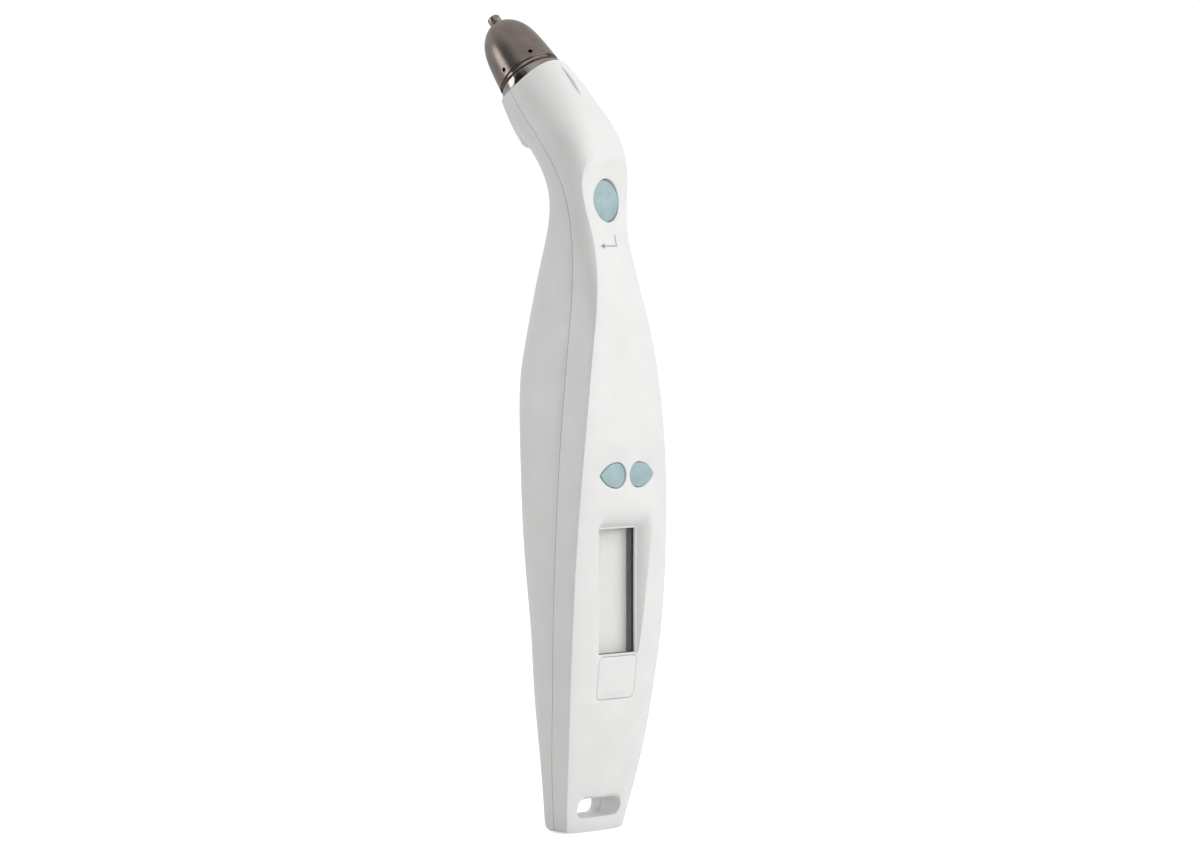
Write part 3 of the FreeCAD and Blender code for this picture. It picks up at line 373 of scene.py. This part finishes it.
def evenly(start, end):
    """Evenly spaced values from start to end."""
    return [start + (end - start) * step / STRIP_STEPS for step in range(STRIP_STEPS + 1)]


def on_surface(tree, place):
    """The spot on the front surface straight behind a place, raised by the ink."""
    hit, _, _, _ = tree.ray_cast(Vector((place.x, IN_FRONT, place.z)), Vector((0, 1, 0)))
    return hit + Vector((0, -INK_LIFT, 0))


def mark_strips(base):
    """The mark's line, stem and arrowhead, each as a row of pairs of points across it."""
    line = [
        (Vector((x, 0, base + INK_HALF)), Vector((x, 0, base - INK_HALF)))
        for x in evenly(MARK_LEFT, MARK_RIGHT + INK_HALF)
    ]
    stem = [
        (Vector((MARK_RIGHT - INK_HALF, 0, z)), Vector((MARK_RIGHT + INK_HALF, 0, z)))
        for z in evenly(base, base + MARK_TALL)
    ]
    point = Vector((MARK_LEFT - POINT_OUT, 0, base))
    head = [
        (point + Vector((reach, 0, reach / 2)), point + Vector((reach, 0, -reach / 2)))
        for reach in evenly(BARB_TIP, BARB)
    ]
    return line, stem, head


def printed_mark():
    """The small grey return arrow printed on the case below the oval key."""
    dark, light = (0.40, 0.41, 0.42), (0.48, 0.49, 0.50)
    ink = moulded_plastic("grey_ink", dark, light, 0.5, 0.1 * MM, 0.002 * MM)
    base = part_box("enter_button")[0].z - MARK_DROP
    tree = BVHTree.FromObject(NODES["front_shell"], bpy.context.evaluated_depsgraph_get())
    mesh = bmesh.new()
    for strip in mark_strips(base):
        rungs = [[mesh.verts.new(on_surface(tree, end)) for end in rung] for rung in strip]
        for (a, b), (c, d) in zip(rungs, rungs[1:]):
            mesh.faces.new((a, b, d, c))
    bmesh.ops.recalc_face_normals(mesh, faces=mesh.faces)
    for face in mesh.faces:
        if face.normal.y > 0:
            face.normal_flip()
    bmesh.ops.triangulate(mesh, faces=mesh.faces)
    data = bpy.data.meshes.new("return_mark")
    mesh.to_mesh(data)
    mesh.free()
    mark = bpy.data.objects.new("return_mark", data)
    bpy.context.scene.collection.objects.link(mark)
    data.materials.append(ink.material)
    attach(mark, "case")


# ---------------------------------------------------------------- studio

DARK_SIDE = (-0.98, 0.15, 0.10)  # the way to the dim side of the room
DIM_FROM = 0.6                # the room dims where its direction's dot product with that is
DIM_TO = 0.95                 # between these two
ROOM_LIGHT = 0.68
ROOM_SHADE = 0.03
BACKDROP = 1.05               # the white surround that the camera sees
FLOOR_REACH = 4.0
FLOOR_GLOW = 0.60             # the floor's own light, seen by the camera only
LIGHT_TARGET = (0, 0, 0.1)
VIEW_TURN = math.radians(47)  # the camera stands this far round to the object's left
CAMERA_HEIGHT = 0.1440
CAMERA_REACH = 1.196
CAMERA_ASIDE = 0.00683
CAMERA_BACK = -0.00452
CAMERA_PITCH = math.radians(2.16)
CAMERA_LENS = 147
SENSOR_WIDTH = 36


def camera():
    data = bpy.data.cameras.new("camera")
    data.lens = CAMERA_LENS
    data.sensor_width = SENSOR_WIDTH
    data.clip_start = 0.05
    data.clip_end = 50
    eye = bpy.data.objects.new("camera", data)
    turn, lean = math.sin(VIEW_TURN), math.cos(VIEW_TURN)
    eye.location = (
        -turn * CAMERA_REACH + lean * CAMERA_ASIDE,
        -lean * CAMERA_REACH - turn * CAMERA_ASIDE + CAMERA_BACK,
        CAMERA_HEIGHT,
    )
    eye.rotation_euler = (math.pi / 2 - CAMERA_PITCH, 0, -VIEW_TURN)
    bpy.context.scene.collection.objects.link(eye)
    bpy.context.scene.camera = eye


def area_light(name, place, size, power, mirrored=True):
    """A soft round light, aimed at the object; a light not mirrored makes no highlights."""
    data = bpy.data.lights.new(name, "AREA")
    data.shape = "DISK"
    data.size = size
    data.energy = power
    lamp = bpy.data.objects.new(name, data)
    lamp.location = place
    lamp.visible_glossy = mirrored
    lamp.rotation_mode = "QUATERNION"
    lamp.rotation_quaternion = (Vector(LIGHT_TARGET) - Vector(place)).to_track_quat("-Z", "Y")
    bpy.context.scene.collection.objects.link(lamp)


def studio_world():
    """Soft room light with one dim side, and a white surround behind the object."""
    world = bpy.data.worlds.new("studio")
    world.use_nodes = True
    tree = world.node_tree
    tree.nodes.clear()
    room = tree.nodes.new("ShaderNodeBackground")
    room.inputs["Color"].default_value = WHITE
    direction = tree.nodes.new("ShaderNodeTexCoord")
    facing = tree.nodes.new("ShaderNodeVectorMath")
    facing.operation = "DOT_PRODUCT"
    facing.inputs[1].default_value = DARK_SIDE
    tree.links.new(direction.outputs["Generated"], facing.inputs[0])
    strength = tree.nodes.new("ShaderNodeMapRange")
    strength.interpolation_type = "SMOOTHSTEP"
    strength.inputs["From Min"].default_value = DIM_FROM
    strength.inputs["From Max"].default_value = DIM_TO
    strength.inputs["To Min"].default_value = ROOM_LIGHT
    strength.inputs["To Max"].default_value = ROOM_SHADE
    tree.links.new(facing.outputs["Value"], strength.inputs["Value"])
    tree.links.new(strength.outputs["Result"], room.inputs["Strength"])
    backdrop = tree.nodes.new("ShaderNodeBackground")
    backdrop.inputs["Color"].default_value = WHITE
    backdrop.inputs["Strength"].default_value = BACKDROP
    path = tree.nodes.new("ShaderNodeLightPath")
    mix = tree.nodes.new("ShaderNodeMixShader")
    out = tree.nodes.new("ShaderNodeOutputWorld")
    tree.links.new(path.outputs["Is Camera Ray"], mix.inputs["Fac"])
    tree.links.new(room.outputs["Background"], mix.inputs[1])
    tree.links.new(backdrop.outputs["Background"], mix.inputs[2])
    tree.links.new(mix.outputs["Shader"], out.inputs["Surface"])
    bpy.context.scene.world = world


def floor():
    """A plain pale floor under the object."""
    near, far = -FLOOR_REACH, FLOOR_REACH
    corners = [(near, near, 0), (far, near, 0), (far, far, 0), (near, far, 0)]
    data = bpy.data.meshes.new("floor")
    data.from_pydata(corners, [], [(0, 1, 2, 3)])
    plane = bpy.data.objects.new("floor", data)
    bpy.context.scene.collection.objects.link(plane)
    g = Graph("floor_paint")
    g.colour(g.tint(g.noise(0.3, 2), (0.74, 0.74, 0.74), (0.77, 0.77, 0.77)))
    g.gloss(g.spread(g.noise(0.05, 2), 0.7, 0.8))
    g.set(Emission_Color=WHITE)
    path = g.add("ShaderNodeLightPath")
    glow = g.spread(path.outputs["Is Camera Ray"], 0.0, FLOOR_GLOW, 0, 1)
    g.join(glow, g.shader.inputs["Emission Strength"])
    data.materials.append(g.material)


def studio():
    studio_world()
    floor()
    area_light("key", (0.55, -1.2, 0.6), 1.8, 10.6)
    area_light("streak", (-0.9, 0.9, 0.35), 0.55, 1.7)
    area_light("top", (0.1, 0.5, 1.3), 0.9, 4.5, mirrored=False)


# ---------------------------------------------------------------- the scene

dress(NODES)
for name, width in SOFT_EDGES.items():
    soften(NODES[name], width)
printed_mark()
studio()
camera()
bpy.context.scene.view_settings.view_transform = "Standard"
